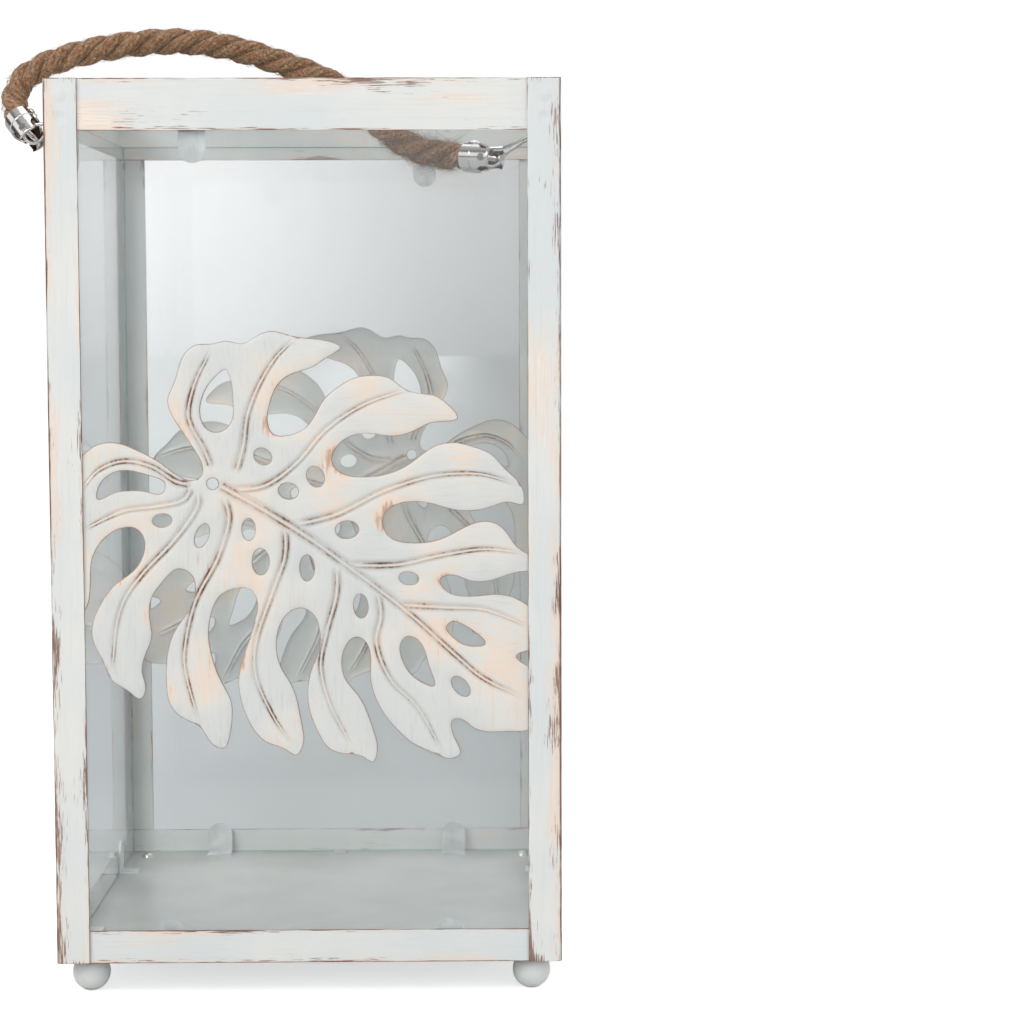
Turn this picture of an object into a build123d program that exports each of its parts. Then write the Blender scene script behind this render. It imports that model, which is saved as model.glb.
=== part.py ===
from build123d import *
import math
import os

# Hurricane candle lantern: open-topped sheet-steel frame with four glass panes,
# a pressed leaf panel on the front and the back, four ball feet and a jute rope
# handle carried by two wire bails.  Millimetres, +Z up, ground at Z = 0,
# front face toward -Y, lantern centred on the Z axis.

os.makedirs("parts", exist_ok=True)

# ---- driving dimensions -------------------------------------------------
WIDTH = 200.0            # outside width and depth over the corner posts
HEIGHT = 360.0           # ground to rim
FOOT_CLEAR = 13.0        # ground to underside of the frame
SHEET = 0.8              # frame sheet thickness
POST_LEG = 13.2          # width of one leg of a corner post
TOP_RAIL = 20.0          # height of the top rails
BASE_RAIL = 13.0         # height of the bottom rails
RIM_FLANGE = 4.0         # inward fold along the top rails
GLASS = 2.0              # pane thickness
GLASS_LOW = 15.5         # bottom edge of the panes
GLASS_HIGH = 346.0       # top edge of the panes
BALL = 15.0              # ball foot diameter
BALL_AT = 88.0           # foot centre distance from the middle, X and Y
PAN_TOP = 15.3           # upper face of the base pan
LEAF_SHEET = 0.8         # pressed leaf thickness
WIRE = 1.5               # bail wire diameter
ROPE = 11.4              # rope diameter
FERRULE = 13.0           # ferrule outside diameter
LEG_Y = 12.0             # half the width of a pivot wire
SWING_X = -24.5          # pivot to ferrule pin, along X
SWING_Z = -13.0          # pivot to ferrule pin, along Z
LEFT_PIVOT = Vector(-97.3, 0, 358.0)
RIGHT_PIVOT = Vector(97.3, 0, 347.8)
TILT = math.radians(36)  # ferrules lean this far toward the front

HALF = WIDTH / 2
SKIN = HALF - SHEET      # outer face of the rails
INNER = SKIN - SHEET     # inner face of the rails


def save(shape, name):
    export_step(shape, f"parts/{name}.step")


def block(x0, x1, y0, y1, z0, z1):
    size = Box(x1 - x0, y1 - y0, z1 - z0)
    return Pos((x0 + x1) / 2, (y0 + y1) / 2, (z0 + z1) / 2) * size


def wire_rod(points, radii, diameter):
    path = FilletPolyline(*points, radius=radii)
    start = Plane(origin=path @ 0, z_dir=path % 0)
    return sweep(start * Circle(diameter / 2), path=path)


# ---- corner posts -------------------------------------------------------
def corner_post():
    outer = Polyline(
        (-HALF, -HALF),
        (-HALF + POST_LEG, -HALF),
        (-HALF + POST_LEG, -SKIN),
        (-SKIN, -SKIN),
        (-SKIN, -HALF + POST_LEG),
        (-HALF, -HALF + POST_LEG),
        close=True,
    )
    face = make_face(outer)
    bends = face.vertices().sort_by_distance((-HALF, -HALF, 0))
    face = fillet(bends[0], 1.6)
    post = Pos(0, 0, FOOT_CLEAR) * extrude(face, HEIGHT - FOOT_CLEAR)
    return post


front_left = corner_post()
save(front_left, "front_left_post")
save(mirror(front_left, about=Plane.YZ), "front_right_post")
save(mirror(front_left, about=Plane.XZ), "back_left_post")
save(Rot(0, 0, 180) * front_left, "back_right_post")

# ---- rails: the front and back ones run full width ----------------------
front_top = block(-SKIN, SKIN, -SKIN, -INNER, HEIGHT - TOP_RAIL, HEIGHT)
front_top += block(-INNER, INNER, -SKIN, -SKIN + RIM_FLANGE, HEIGHT - SHEET, HEIGHT)
save(front_top, "front_top_rail")
save(Rot(0, 0, 180) * front_top, "back_top_rail")

side_top = block(-SKIN, -INNER, -INNER, INNER, HEIGHT - TOP_RAIL, HEIGHT)
flange_y = SKIN - RIM_FLANGE
side_top += block(-SKIN, -SKIN + RIM_FLANGE, -flange_y, flange_y, HEIGHT - SHEET, HEIGHT)
for y in (-LEG_Y, LEG_Y):
    slot_x = -SKIN + RIM_FLANGE - 1.6
    side_top -= block(-HALF, slot_x, y - 1.3, y + 1.3, HEIGHT - 4.4, HEIGHT + 1)
save(side_top, "left_top_rail")
save(Rot(0, 0, 180) * side_top, "right_top_rail")

low = FOOT_CLEAR
front_base = block(-SKIN, SKIN, -SKIN, -INNER, low, low + BASE_RAIL)
save(front_base, "front_base_rail")
save(Rot(0, 0, 180) * front_base, "back_base_rail")
side_base = block(-SKIN, -INNER, -INNER, INNER, low, low + BASE_RAIL)
save(side_base, "left_base_rail")
save(Rot(0, 0, 180) * side_base, "right_base_rail")

# ---- base pan: floor sheet with a short fold down all round -------------
pan = block(-INNER, INNER, -INNER, INNER, FOOT_CLEAR, PAN_TOP)
pan -= block(-INNER + SHEET, INNER - SHEET, -INNER + SHEET, INNER - SHEET,
             FOOT_CLEAR - 1, PAN_TOP - SHEET)
for x in (-BALL_AT, BALL_AT):
    for y in (-BALL_AT, BALL_AT):
        pan -= Pos(x, y, PAN_TOP) * Cylinder(1.55, 10)
save(pan, "base_pan")

# ---- glass --------------------------------------------------------------
GLASS_OUT = INNER - 0.1
GLASS_IN = GLASS_OUT - GLASS
front_glass = block(-98.0, 98.0, -GLASS_OUT, -GLASS_IN, GLASS_LOW, GLASS_HIGH)
front_glass = chamfer(front_glass.edges().filter_by(Axis.X), 0.3)
save(front_glass, "front_glass")
save(Rot(0, 0, 180) * front_glass, "back_glass")
side_glass = block(-GLASS_OUT, -GLASS_IN, -96.0, 96.0, GLASS_LOW, GLASS_HIGH)
side_glass = chamfer(side_glass.edges().filter_by(Axis.Y), 0.3)
save(side_glass, "left_glass")
save(Rot(0, 0, 180) * side_glass, "right_glass")


# ---- glass tabs: strip off the top rail, two round ears off the pan -----
def round_ended(width, length, thick):
    """Tongue in the XZ plane, square end at Z = 0, round end at Z = length."""
    radius = width / 2
    tongue = block(-radius, radius, 0, thick, 0, length - radius)
    tongue += Pos(0, thick / 2, length - radius) * Rot(90, 0, 0) * Cylinder(radius, thick)
    return tongue


TAB = 0.6


def side_tabs(top_at):
    inside = -GLASS_IN + 0.05
    top = Pos(top_at, inside, 350.0) * Rot(0, 180, 0) * round_ended(10.5, 22.5, TAB)
    bridge = block(top_at - 5.25, top_at + 5.25, -INNER + 0.02, inside + TAB, 350.0, 350.0 + TAB)
    web = block(top_at - 5.25, top_at + 5.25, -INNER + 0.02, -INNER + 0.02 + TAB, 350.0, 358.0)
    group = [top + bridge + web]
    for x in (-55.0, 55.0):
        ear = Pos(x, inside, PAN_TOP) * round_ended(11.0, 14.4, TAB)
        sole = block(x - 5.5, x + 5.5, inside, inside + 8.0, PAN_TOP, PAN_TOP + TAB)
        group.append(ear + sole)
    return group


front_tabs = side_tabs(-43.0)
save(Compound(children=front_tabs), "front_glass_tabs")
save(Compound(children=[Rot(0, 0, 180) * t for t in front_tabs]), "back_glass_tabs")
long_tabs = side_tabs(43.0)
save(Compound(children=[Rot(0, 0, -90) * t for t in long_tabs]), "left_glass_tabs")
save(Compound(children=[Rot(0, 0, 90) * t for t in long_tabs]), "right_glass_tabs")

# ---- ball feet and their screws -----------------------------------------
corners = {
    "front_left_foot": (-BALL_AT, -BALL_AT),
    "front_right_foot": (BALL_AT, -BALL_AT),
    "back_left_foot": (-BALL_AT, BALL_AT),
    "back_right_foot": (BALL_AT, BALL_AT),
}
screws = []
for name, (x, y) in corners.items():
    ball = Pos(x, y, 7.1) * Sphere(BALL / 2)
    ball -= block(x - 10, x + 10, y - 10, y + 10, -10, 0)
    ball -= block(x - 10, x + 10, y - 10, y + 10, FOOT_CLEAR + 1.5, 30)
    ball -= Pos(x, y, 11.0) * Cylinder(1.5, 10)
    save(ball, name)
    screw = Pos(x, y, 11.6) * Cylinder(1.5, 8.0)
    head = Pos(x, y, 14.2) * Sphere(3.2)
    head &= block(x - 5, x + 5, y - 5, y + 5, PAN_TOP, 30)
    slot = block(x - 5, x + 5, y - 0.35, y + 0.35, 16.7, 30)
    screws.append(screw + head - slot)
save(Compound(children=screws), "foot_screws")

# ---- pressed leaf panel -------------------------------------------------
# Split-leaf shape lying in the XZ plane; each group of points is one lobe.
leaf_edge = [
    # left lobe, top edge and the notch beside the stalk
    (-96, 207), (-88, 213.2), (-82, 218.1), (-74, 219.4), (-66, 216.6), (-58, 212.5),
    (-50, 206.7), (-44, 204.6), (-40.8, 206.2),
    # upper left lobe
    (-40.4, 210.6), (-43.2, 216.4), (-48, 223.8), (-52.3, 231), (-53.4, 236), (-51, 242),
    (-49, 248.5), (-46.5, 254), (-41.5, 257.5), (-35.8, 257.7), (-30.5, 258.8), (-24, 257.8),
    # top lobe
    (-19, 260.4), (-13, 262.6), (-6, 261), (0, 259.9), (7, 259.2), (14.2, 255.9),
    (10, 253), (3, 248.5), (-5, 245.8), (-10.5, 241.6), (-13.6, 234.5), (-14.6, 227.5),
    (-12.5, 222.6), (-7, 222), (0, 224.9),
    # first right lobe
    (3.8, 229.8), (7, 235.5), (12.5, 240.5), (19, 244.2), (26, 245.3), (32.8, 244.3),
    (38, 240.6), (43, 238.5), (49.8, 237.6), (55.5, 234.2), (59.4, 228.2),
    (55, 227.2), (49, 226.6), (41.5, 223.1), (33, 221.6), (24, 222.7), (17, 221.2),
    (12, 217), (10.4, 212), (13, 208), (20, 205.8), (28, 206), (36, 208.3),
    # second right lobe
    (43, 212.5), (50, 217.4), (58, 219), (66, 217.3), (72.5, 214.5), (78, 208.7),
    (83, 204), (85.4, 198), (85.0, 194.9), (80, 195.4), (73, 194), (65, 192.2),
    (57, 192.9), (49, 195.2), (42, 195.9), (35, 194.6), (31, 191.5), (30.2, 186.5),
    (33, 182), (39, 180), (46, 179.9),
    # third right lobe, its tip behind the post
    (53, 181.4), (60, 184.9), (67, 187.8), (72, 188), (77, 185.4), (81, 179.9),
    (86.5, 175.4), (92.5, 171.2), (91, 168.9), (86.5, 168.3), (80, 167.3), (72, 164.8),
    (63, 165.1), (56, 167), (52.4, 165.2), (54.5, 161), (60, 158.8), (67, 158.8),
    # fourth right lobe
    (75, 159.4), (81, 158.2), (87, 154.8), (93, 149), (93.5, 142), (87, 137.1),
    (82.1, 134.6), (84, 132.6), (87.5, 130.4),
    # leaf point
    (93.5, 125), (94, 112), (87, 105.5), (79, 105), (71, 104.9), (65, 106.6),
    (60, 110), (57.2, 109.8), (56.7, 106),
    # lower lobes, right to left
    (58.6, 101), (60, 96.3), (57, 94.4), (50, 96.3), (42, 100), (36, 105),
    (30.5, 111.7), (26.5, 119), (24.7, 127), (24.8, 135), (22.7, 141), (19.5, 142.6),
    (15.8, 140), (13.6, 133), (14.6, 127), (19.5, 120.3), (23.3, 113.5), (25.8, 106),
    (27.3, 97), (25.5, 93.2), (21.5, 95.2), (15, 96.4), (8.5, 98.5), (4, 105),
    (1, 112.5), (0.1, 121), (1.5, 129.8), (4.6, 138), (5, 145), (3, 151.2),
    (-2, 154.2), (-7, 152.4), (-10.8, 146.5), (-12, 139.5), (-10.3, 131), (-6.5, 124.5),
    (-3.6, 116), (-2.2, 108), (-2, 99.5), (-4.4, 96), (-9, 98.3), (-16, 101),
    (-21.5, 106.5), (-25.3, 115), (-27, 124), (-26, 132), (-22.8, 141), (-20.2, 150),
    (-19.3, 157), (-22, 161.6), (-28, 162), (-34, 159), (-37.4, 152), (-38.5, 144),
    (-37.2, 135), (-33.5, 125), (-30, 117.5), (-29.6, 111), (-30.8, 103), (-32.8, 99),
    (-37.5, 100.4), (-42, 107), (-48, 110.4), (-53.3, 115), (-55.3, 124), (-55, 135),
    (-52, 145), (-46.5, 153), (-43.6, 161), (-45.2, 167.7), (-50, 169.8), (-56, 165),
    (-60.8, 158), (-61.4, 150.5), (-60.8, 143), (-63.5, 135.5), (-64.6, 129), (-63.4, 122),
    (-65.3, 118.6), (-70, 121.5), (-76.5, 125.8), (-80, 133.5), (-83.6, 141), (-83.9, 148),
    (-81, 155.5), (-75, 163.6), (-67, 169.8), (-63.3, 177), (-63.2, 181.5), (-66.5, 185.8),
    (-72, 185.9), (-79, 181.6), (-83.5, 174.3), (-84.4, 167), (-84.9, 159),
    # left lobe, lower edge behind the post
    (-88, 152.2), (-93, 151), (-97, 158), (-98, 178), (-98, 197),
]

# openings along the ribs: centre x, z, half length, half width, lean in degrees
slots = [
    (-16.6, 213.8, 3.7, 3.0, -35),
    (-6.7, 200.3, 3.9, 3.1, -10),
    (3.9, 205.8, 4.2, 3.3, -65),
    (16.0, 185.0, 4.5, 3.4, 5),
    (40.1, 165.8, 3.9, 2.6, -8),
    (60.3, 123.0, 4.7, 2.7, -50),
    (21.2, 155.0, 4.7, 2.8, -85),
    (0.3, 170.0, 5.1, 2.8, 90),
    (-17.8, 172.6, 5.2, 3.3, 90),
    (-22.4, 185.2, 4.3, 2.6, 90),
    (-40.6, 182.9, 4.9, 2.5, 68),
    (-56.1, 188.9, 3.8, 2.6, 5),
]

# larger drop-shaped openings inside the lobes
drops = [
    [(-30, 247.3), (-28.6, 243), (-28, 235), (-28.4, 228.4), (-32, 224), (-36.5, 223.7),
     (-40.2, 227.8), (-40.5, 234.5), (-38.2, 240.5), (-34.2, 245.4)],
    [(55, 147.1), (57, 148.6), (62, 147), (67, 143.5), (69.9, 140), (65, 139),
     (60, 140.5), (56, 144)],
    [(39.8, 142.9), (43, 141.8), (46.3, 136.5), (47.8, 130.8), (49.5, 123.2), (45.5, 124.6),
     (40.6, 128.2), (37.2, 134.3), (36.9, 140.4)],
    [(-81.4, 198.2), (-79.5, 203.9), (-74.5, 207.7), (-67.5, 208.2), (-60, 206.2),
     (-54.8, 203), (-55.5, 200), (-62.6, 200.3), (-69, 200.6), (-75, 199.6)],
]
STALK_HOLE = (-36.3, 203.2, 2.25)

# raised ribs: the midrib first, then one per lobe
ribs = [
    [(-33.5, 202.4), (-16.9, 193.1), (1.4, 181.6), (21.2, 166.9), (40.1, 152), (58.9, 134.9),
     (69.9, 125.8), (86, 117.8)],
    [(-36.4, 209), (-39.5, 216.9), (-44.4, 226), (-45.2, 233), (-42, 244), (-36.5, 254.5)],
    [(-27, 207.1), (-24, 218), (-22.4, 229.5), (-17.8, 241.5), (-11, 252.5), (-4, 259)],
    [(-29, 200.6), (-16, 202.3), (-3.5, 211), (8.4, 224.2), (23, 233.9), (39, 239.2)],
    [(-4, 187), (12, 191), (31, 200.2), (50, 205.9), (68, 206.6), (82, 202.6)],
    [(16, 171), (36, 171.2), (52.9, 174.8), (70, 177.2), (86, 175.2)],
    [(36, 155.3), (55, 154.2), (70, 153.2), (86, 147)],
    [(-32, 198.5), (-30, 189), (-34.5, 174), (-43.5, 157), (-47.9, 138), (-47, 126),
     (-42.6, 109.5)],
    [(-42, 200.5), (-42.4, 193.5), (-51, 181.6), (-65.6, 166), (-73.4, 152), (-76.5, 129)],
    [(-44.3, 202), (-48, 196.6), (-58, 194.3), (-72, 192.2), (-87, 185.2)],
    [(-43.7, 203), (-50.5, 204.1), (-60, 210), (-71, 212.1), (-81, 208.3), (-88, 200)],
    [(-8.2, 187), (-8.2, 175), (-13, 161), (-19.4, 143), (-20.2, 128), (-14, 112.5),
     (-6, 100)],
    [(12.1, 170.5), (11.7, 159.3), (7.8, 144.7), (5.4, 131), (9, 116), (17.6, 99)],
    [(28, 160.5), (29.1, 151), (27.3, 139.8), (32.8, 125.8), (43.7, 114.2), (52.4, 98)],
]

LEAF_FACE = -SKIN        # front of the leaf sheet lies against the posts
to_front = Plane(origin=(0, LEAF_FACE + LEAF_SHEET, 0), x_dir=(1, 0, 0), z_dir=(0, -1, 0))

outline = make_face(Spline(*leaf_edge, periodic=True))
for x, z, long, short, lean in slots:
    outline -= Pos(x, z) * Rot(0, 0, lean) * Ellipse(long, short)
for drop in drops:
    outline -= make_face(Spline(*drop, periodic=True))
outline -= Pos(STALK_HOLE[0], STALK_HOLE[1]) * Circle(STALK_HOLE[2])
leaf = extrude(to_front * outline, LEAF_SHEET)
for rib in ribs:
    run = Spline(*[(x, LEAF_FACE - 0.05, z) for x, z in rib])
    start = Plane(origin=run @ 0, z_dir=run % 0)
    bead = sweep(start * Circle(0.65), path=run)
    leaf += bead - block(-HALF, HALF, LEAF_FACE + 0.4, 0, 0, HEIGHT)
trim = block(-95, 95, -HALF - 5, 0, 0, HEIGHT)
post_room = block(-HALF, -HALF + POST_LEG + 0.3, -HALF - 5, LEAF_FACE, 0, HEIGHT)
post_room += block(HALF - POST_LEG - 0.3, HALF, -HALF - 5, LEAF_FACE, 0, HEIGHT)
leaf = (leaf & trim) - post_room
save(leaf, "front_leaf")
save(Rot(0, 0, 180) * leaf, "back_leaf")


# ---- wire bails ---------------------------------------------------------
REACH = math.hypot(SWING_X, SWING_Z)
along = Vector(SWING_X, 0, SWING_Z) / REACH
across = Vector(along.Z, 0, -along.X)
LOOP_IN = 3.0                          # inside radius of the apex loop
LOOP_MID = LOOP_IN + WIRE / 2
LOOP_AT = REACH - 0.9                  # loop centre, a little short of the pin
LAP = 6.5                              # welded overlap of the two wires


def at(pivot, reach, y, rise):
    point = pivot + along * reach + across * rise
    return (point.X, y, point.Z)


def pivot_wire(pivot):
    points = [
        at(pivot, 5.0 + LAP, -LEG_Y, 0),
        at(pivot, 0, -LEG_Y, 0),
        at(pivot, 0, LEG_Y, 0),
        at(pivot, 5.0 + LAP, LEG_Y, 0),
    ]
    return wire_rod(points, 1.6, WIRE)


def bail(pivot):
    lap_y = LEG_Y - WIRE + 0.04
    neck = LOOP_AT - 6.5
    points = [
        at(pivot, 5.0, -lap_y, 0),
        at(pivot, 5.0 + LAP, -lap_y, 0),
        at(pivot, neck, -1.7, 1.2),
        at(pivot, LOOP_AT - 1.2, 0, LOOP_MID),
        at(pivot, LOOP_AT + LOOP_MID, 0, LOOP_MID),
        at(pivot, LOOP_AT + LOOP_MID, 0, -LOOP_MID),
        at(pivot, LOOP_AT - 1.2, 0, -LOOP_MID),
        at(pivot, neck, 1.7, -1.2),
        at(pivot, 5.0 + LAP, lap_y, 0),
        at(pivot, 5.0, lap_y, 0),
    ]
    radii = [2.5, 2.5, 2.0, LOOP_MID - 0.06, LOOP_MID - 0.06, 2.0, 2.5, 2.5]
    return wire_rod(points, radii, WIRE)


save(pivot_wire(LEFT_PIVOT), "left_pivot_wire")
save(bail(LEFT_PIVOT), "left_bail")
save(pivot_wire(RIGHT_PIVOT), "right_pivot_wire")
save(bail(RIGHT_PIVOT), "right_bail")

# ---- ferrules -----------------------------------------------------------
swing = Vector(SWING_X, 0, SWING_Z)
LEFT_PIN = LEFT_PIVOT + swing
RIGHT_PIN = RIGHT_PIVOT + swing


def mouth_way(dip):
    """Direction a ferrule mouth faces: dipped in the XZ plane, leaned to the front."""
    turn = math.radians(dip)
    flat = math.cos(TILT)
    return Vector(flat * math.cos(turn), -math.sin(TILT), -flat * math.sin(turn))


LEFT_WAY = mouth_way(50)
RIGHT_WAY = mouth_way(5)
MOUTH = 3.2              # mouth edge beyond the pin
MOUTH_CUT = 5.3          # half width of the slot that the bail loop turns in
TAIL = -12.0             # rope end of the ferrule
ROPE_END = -5.6          # cut end of the rope inside the ferrule
PIN = 2.2                # cross pin diameter


def ferrule_plane(pin, way):
    side = Vector(0, 1, 0) - way * way.Y
    return Plane(origin=pin, x_dir=side, z_dir=way)


def ferrule():
    radius = FERRULE / 2
    shell = Pos(0, 0, (TAIL + MOUTH) / 2) * Cylinder(radius, MOUTH - TAIL)
    shell += Pos(0, 0, MOUTH - 0.6) * Torus(radius - 0.35, 0.6)
    groove = Pos(0, 0, -6.6) * Torus(radius + 0.25, 0.5)
    shell -= groove
    shell -= Cylinder(ROPE / 2, 60)
    shell -= Rot(90, 0, 0) * Cylinder(MOUTH_CUT, 30)
    shell -= block(-MOUTH_CUT, MOUTH_CUT, -15, 15, 0, 15)
    shell -= Rot(0, 90, 0) * Cylinder(PIN / 2, 30)
    return shell


def cross_pin():
    pin = Rot(0, 90, 0) * Cylinder(PIN / 2, FERRULE + 1.0)
    for side in (-1, 1):
        head = Pos(side * (FERRULE / 2 + 0.35), 0, 0) * Rot(0, 90, 0) * Cylinder(1.6, 0.7)
        pin += head
    return pin


def rivet():
    radius = FERRULE / 2
    head = Pos(0, 0, -2.0) * Sphere(3.1)
    head &= block(-5, 5, -5, 5, -0.25, 3)
    shank = Pos(0, 0, -1.0) * Cylinder(1.0, 2.4)
    return Pos(0, radius, -9.2) * Rot(-90, 0, 0) * (head + shank)


for side, pin, way in (("left", LEFT_PIN, LEFT_WAY), ("right", RIGHT_PIN, RIGHT_WAY)):
    place = ferrule_plane(pin, way)
    shell = ferrule() - (Pos(0, FERRULE / 2, -9.2) * Rot(-90, 0, 0) * Cylinder(1.0, 8))
    save(place * shell, f"{side}_ferrule")
    save(place * cross_pin(), f"{side}_ferrule_pin")
    save(place * rivet(), f"{side}_ferrule_rivet")

# ---- rope handle: straight runs joined by arcs --------------------------
start = LEFT_PIN + LEFT_WAY * ROPE_END
end = RIGHT_PIN + RIGHT_WAY * ROPE_END
first = LEFT_PIN - LEFT_WAY * 16.0
last = RIGHT_PIN - RIGHT_WAY * 20.0
route = [
    (start.X, start.Y, start.Z),
    (first.X, first.Y, first.Z),
    (-131.4, 14.2, 361.8),
    (-128.6, 16.5, 369.8),
    (-117.3, 18.5, 377.2),
    (-96.0, 20.5, 383.4),
    (-66.0, 22.5, 387.3),
    (-42.5, 23.5, 385.2),
    (-16.5, 23.5, 377.5),
    (12.0, 22.5, 366.0),
    (28.0, 19.5, 347.5),
    (41.0, 17.0, 339.0),
    (last.X, last.Y, last.Z),
    (end.X, end.Y, end.Z),
]
spots = [Vector(*p) for p in route]
radii = []
for i in range(1, len(spots) - 1):
    back = spots[i] - spots[i - 1]
    ahead = spots[i + 1] - spots[i]
    turn = math.radians(back.get_angle(ahead))
    shorter = min(back.length, ahead.length)
    radii.append(0.45 * shorter / math.tan(turn / 2))
rope_path = FilletPolyline(*route, radius=radii)
rope_start = Plane(origin=rope_path @ 0, z_dir=rope_path % 0)
rope = sweep(rope_start * Circle(ROPE / 2), path=rope_path)
save(rope, "rope")
print("rope ends", [round(v, 3) for v in route[0] + route[1] + route[-2] + route[-1]])
print("rope radii", [round(r, 1) for r in radii])
print("rope length", round(rope_path.length, 2))
print("rope volume", round(rope.volume, 1), "section x length",
      round(math.pi * ROPE**2 / 4 * rope_path.length, 1))
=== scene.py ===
import math
import random

import bpy
import numpy as np
from mathutils import Matrix, Vector, noise
from mathutils.geometry import delaunay_2d_cdt


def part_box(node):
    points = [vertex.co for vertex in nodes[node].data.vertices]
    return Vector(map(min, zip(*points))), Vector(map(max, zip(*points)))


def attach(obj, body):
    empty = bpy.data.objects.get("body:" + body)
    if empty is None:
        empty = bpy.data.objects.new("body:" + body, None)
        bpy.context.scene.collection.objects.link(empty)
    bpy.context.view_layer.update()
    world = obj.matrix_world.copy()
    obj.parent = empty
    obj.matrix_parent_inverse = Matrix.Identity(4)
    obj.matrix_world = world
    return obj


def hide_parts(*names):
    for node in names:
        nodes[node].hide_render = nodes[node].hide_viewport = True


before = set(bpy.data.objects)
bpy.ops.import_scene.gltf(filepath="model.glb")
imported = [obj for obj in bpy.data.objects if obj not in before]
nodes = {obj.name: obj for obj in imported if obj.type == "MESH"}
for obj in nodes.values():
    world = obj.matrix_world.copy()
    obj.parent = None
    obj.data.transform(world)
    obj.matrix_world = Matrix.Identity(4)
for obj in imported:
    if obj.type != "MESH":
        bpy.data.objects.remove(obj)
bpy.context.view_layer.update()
scene = bpy.context.scene
MM = 0.001


# ---------------------------------------------------------------- camera
def set_camera():
    """A long lens a little to the right of the lantern and below its brim."""
    data = bpy.data.cameras.new("camera")
    data.lens = 88.77
    data.sensor_width = 36.0
    data.clip_start = 0.01
    data.clip_end = 50.0
    camera = bpy.data.objects.new("camera", data)
    scene.collection.objects.link(camera)
    turn = (
        Matrix.Rotation(math.radians(-0.7661), 3, "Z")
        @ Matrix.Rotation(math.radians(0.1524), 3, "Y")
        @ Matrix.Rotation(math.radians(-4.5656), 3, "X")
    )
    right, forward, up = turn.col[0], turn.col[1], turn.col[2]
    world = Matrix.Identity(4)
    for i in range(3):
        world[i][0], world[i][1], world[i][2] = right[i], up[i], -forward[i]
    world.translation = Vector((0.067608, -1.083621, 0.270329))
    camera.matrix_world = world
    scene.camera = camera


set_camera()


# ---------------------------------------------------------------- node helpers
def linear(r, g, b):
    """A colour given as 0-255 display values, as scene-linear RGBA."""
    out = []
    for v in (r, g, b):
        v /= 255.0
        out.append(v / 12.92 if v <= 0.04045 else ((v + 0.055) / 1.055) ** 2.4)
    return (*out, 1.0)


class Shader:
    """One material's node tree, with short calls for the nodes used here."""

    def __init__(self, name):
        self.mat = bpy.data.materials.new(name)
        self.mat.use_nodes = True
        self.tree = self.mat.node_tree
        self.tree.nodes.clear()
        self.where = self.add("ShaderNodeTexCoord").outputs["Object"]
        parts = self.add("ShaderNodeSeparateXYZ", None, {0: self.where})
        self.x, self.y, self.z = parts.outputs

    def add(self, kind, props=None, values=None):
        node = self.tree.nodes.new(kind)
        for key, value in (props or {}).items():
            setattr(node, key, value)
        for key, value in (values or {}).items():
            if isinstance(value, bpy.types.NodeSocket):
                self.tree.links.new(value, node.inputs[key])
            else:
                node.inputs[key].default_value = value
        return node

    def math(self, op, a, b=0.0, clamp=False):
        node = self.add("ShaderNodeMath", {"operation": op, "use_clamp": clamp}, {0: a, 1: b})
        return node.outputs[0]

    def plus(self, *terms):
        """Weighted sum of (weight, value) pairs."""
        total = None
        for weight, value in terms:
            part = self.math("MULTIPLY", value, weight)
            total = part if total is None else self.math("ADD", total, part)
        return total

    def smooth(self, value, low, high):
        node = self.add(
            "ShaderNodeMapRange",
            {"interpolation_type": "SMOOTHSTEP"},
            {"Value": value, "From Min": low, "From Max": high},
        )
        return node.outputs[0]

    def near(self, value, target, width):
        """1 where value is at target, falling to 0 at width away."""
        gap = self.math("ABSOLUTE", self.math("SUBTRACT", value, target))
        return self.smooth(gap, width, 0.0)

    def size(self, axis):
        return self.math("ABSOLUTE", {"x": self.x, "y": self.y, "z": self.z}[axis])

    def noise(self, stretch, detail=3.0, rough=0.55, seed=0.0, turn=(0, 0, 0), warp=0.0):
        mapped = self.add(
            "ShaderNodeMapping",
            None,
            {0: self.where, "Scale": stretch, "Location": (seed, seed * 0.7, seed * 1.3),
             "Rotation": turn},
        )
        node = self.add(
            "ShaderNodeTexNoise",
            None,
            {"Vector": mapped.outputs[0], "Scale": 1.0, "Detail": detail,
             "Roughness": rough, "Distortion": warp},
        )
        return node.outputs[0]

    def attribute(self, name):
        return self.add("ShaderNodeAttribute", {"attribute_name": name}).outputs["Fac"]

    def mix(self, share, a, b):
        node = self.add("ShaderNodeMix", {"data_type": "RGBA"}, {0: share, 6: a, 7: b})
        return node.outputs[2]

    def tinted(self, colour, mask, amount, tone):
        """The colour pulled towards tone by amount wherever mask is 1."""
        return self.mix(self.math("MULTIPLY", mask, amount), colour, tone)

    def blend(self, share, a, b):
        node = self.add("ShaderNodeMix", None, {0: share, 2: a, 3: b})
        return node.outputs[0]

    def bump(self, height, distance, strength=1.0, under=None):
        values = {"Strength": strength, "Distance": distance, "Height": height}
        if under is not None:
            values["Normal"] = under
        return self.add("ShaderNodeBump", None, values).outputs[0]

    def finish(self, **sockets):
        values = {k.replace("_", " "): v for k, v in sockets.items()}
        surface = self.add("ShaderNodeBsdfPrincipled", None, values).outputs[0]
        self.add("ShaderNodeOutputMaterial", None, {0: surface})
        return self.mat


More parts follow.
